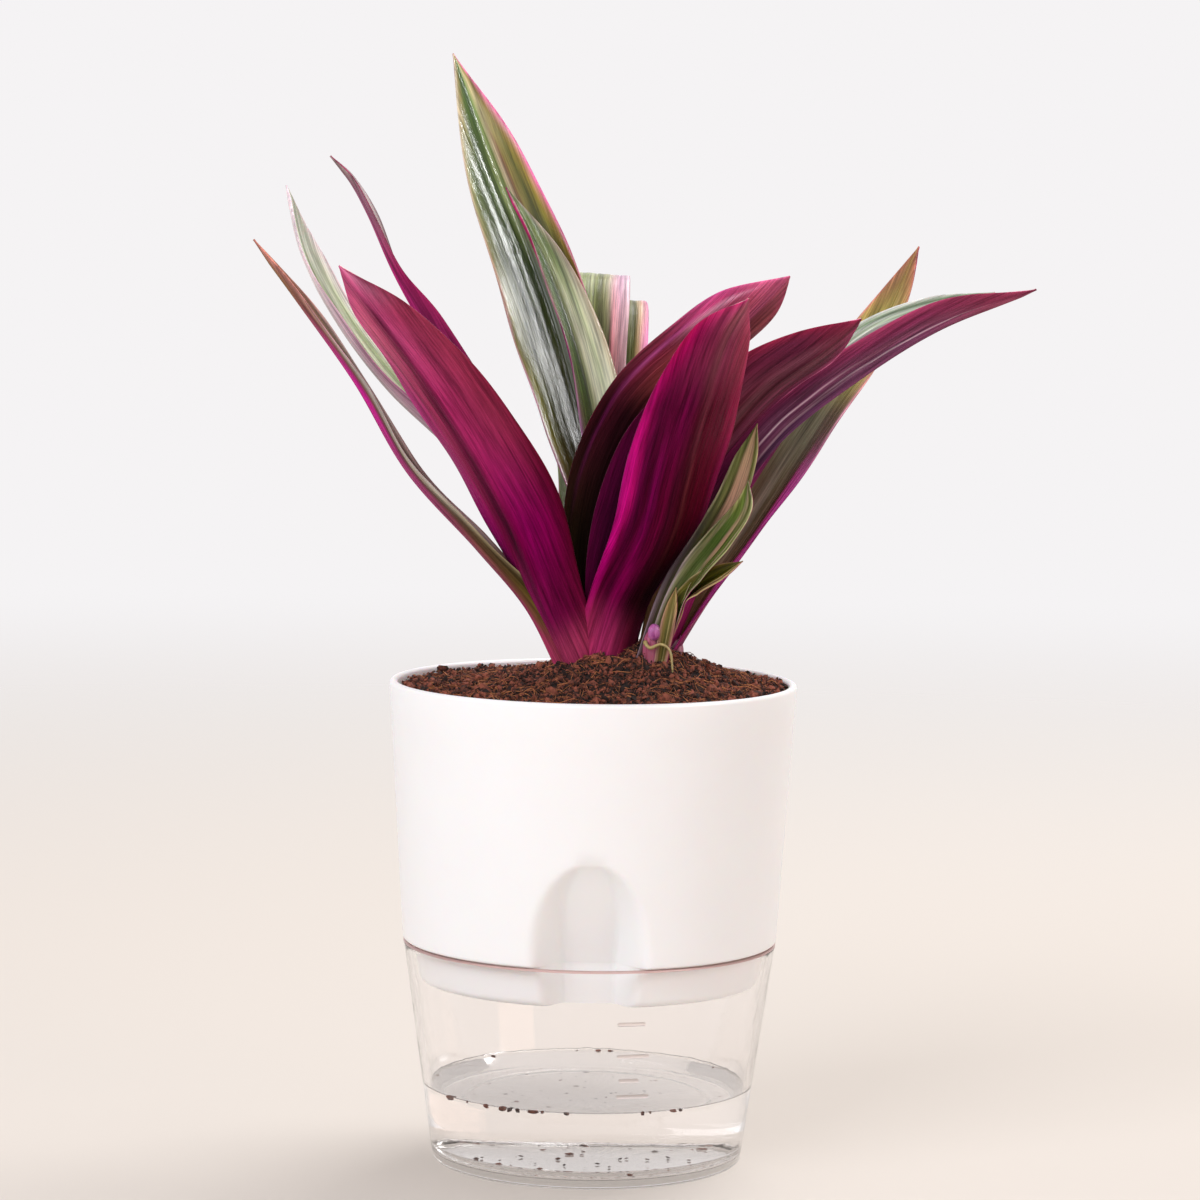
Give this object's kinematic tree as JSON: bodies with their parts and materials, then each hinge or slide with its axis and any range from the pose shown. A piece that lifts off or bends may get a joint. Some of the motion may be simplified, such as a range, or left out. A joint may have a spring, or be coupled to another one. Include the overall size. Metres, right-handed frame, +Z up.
{
  "type": "potted tradescantia",
  "caption": "Tricolour tradescantia with upright striped and purple leaves in a white self-watering pot that hangs in a clear reservoir cup with some water.",
  "frame": {"origin": "centre of the flat underside of the clear cup, on the surface that the pot stands on", "axes": "+Z up along the pot's axis; -Y is the front, where the watering scoop is; +X is to the right seen from the front"},
  "size_m": [0.1904, 0.1312, 0.2722],
  "materials": {
    "pot_plastic": "satin white moulded plastic",
    "clear_plastic": "clear moulded polystyrene, glossy",
    "water": "still water",
    "soil": "moist dark potting mix of coir and peat, loose and crumbly",
    "leaf_base": "pink fleshy leaf sheaths, satin",
    "leaf_purple": "waxy purple leaf underside, satin",
    "leaf_dark": "waxy dark maroon leaf, satin",
    "leaf_green": "waxy green leaf with pale stripes and pink margins, glossy",
    "leaf_striped": "cream, green and pink striped leaf, satin"
  },
  "bodies": {
    "root": {"crown_a": "leaf_base", "crown_b": "leaf_base", "crown_c": "leaf_base", "bud": "leaf_base", "soil": "soil", "leaf_small_tall": "leaf_striped", "leaf_small_striped": "leaf_striped", "leaf_small_side": "leaf_green", "leaf_small_tip": "leaf_striped", "leaf_front": "leaf_purple", "leaf_left_broad": "leaf_purple", "leaf_tall": "leaf_green", "leaf_right_dark": "leaf_dark", "leaf_right_low": "leaf_purple", "leaf_tall_inner": "leaf_green", "leaf_inner_dark": "leaf_dark", "leaf_back_arched": "leaf_green", "leaf_back_outer": "leaf_green", "leaf_left_pale": "leaf_striped", "leaf_left_thin": "leaf_purple", "leaf_left_low": "leaf_purple", "leaf_back_low": "leaf_purple", "leaf_side_long": "leaf_purple", "leaf_side_back": "leaf_green", "leaf_side_pale": "leaf_striped", "inner_pot": "pot_plastic", "reservoir_cup": "clear_plastic", "water": "water"}
  },
  "joints": []
}
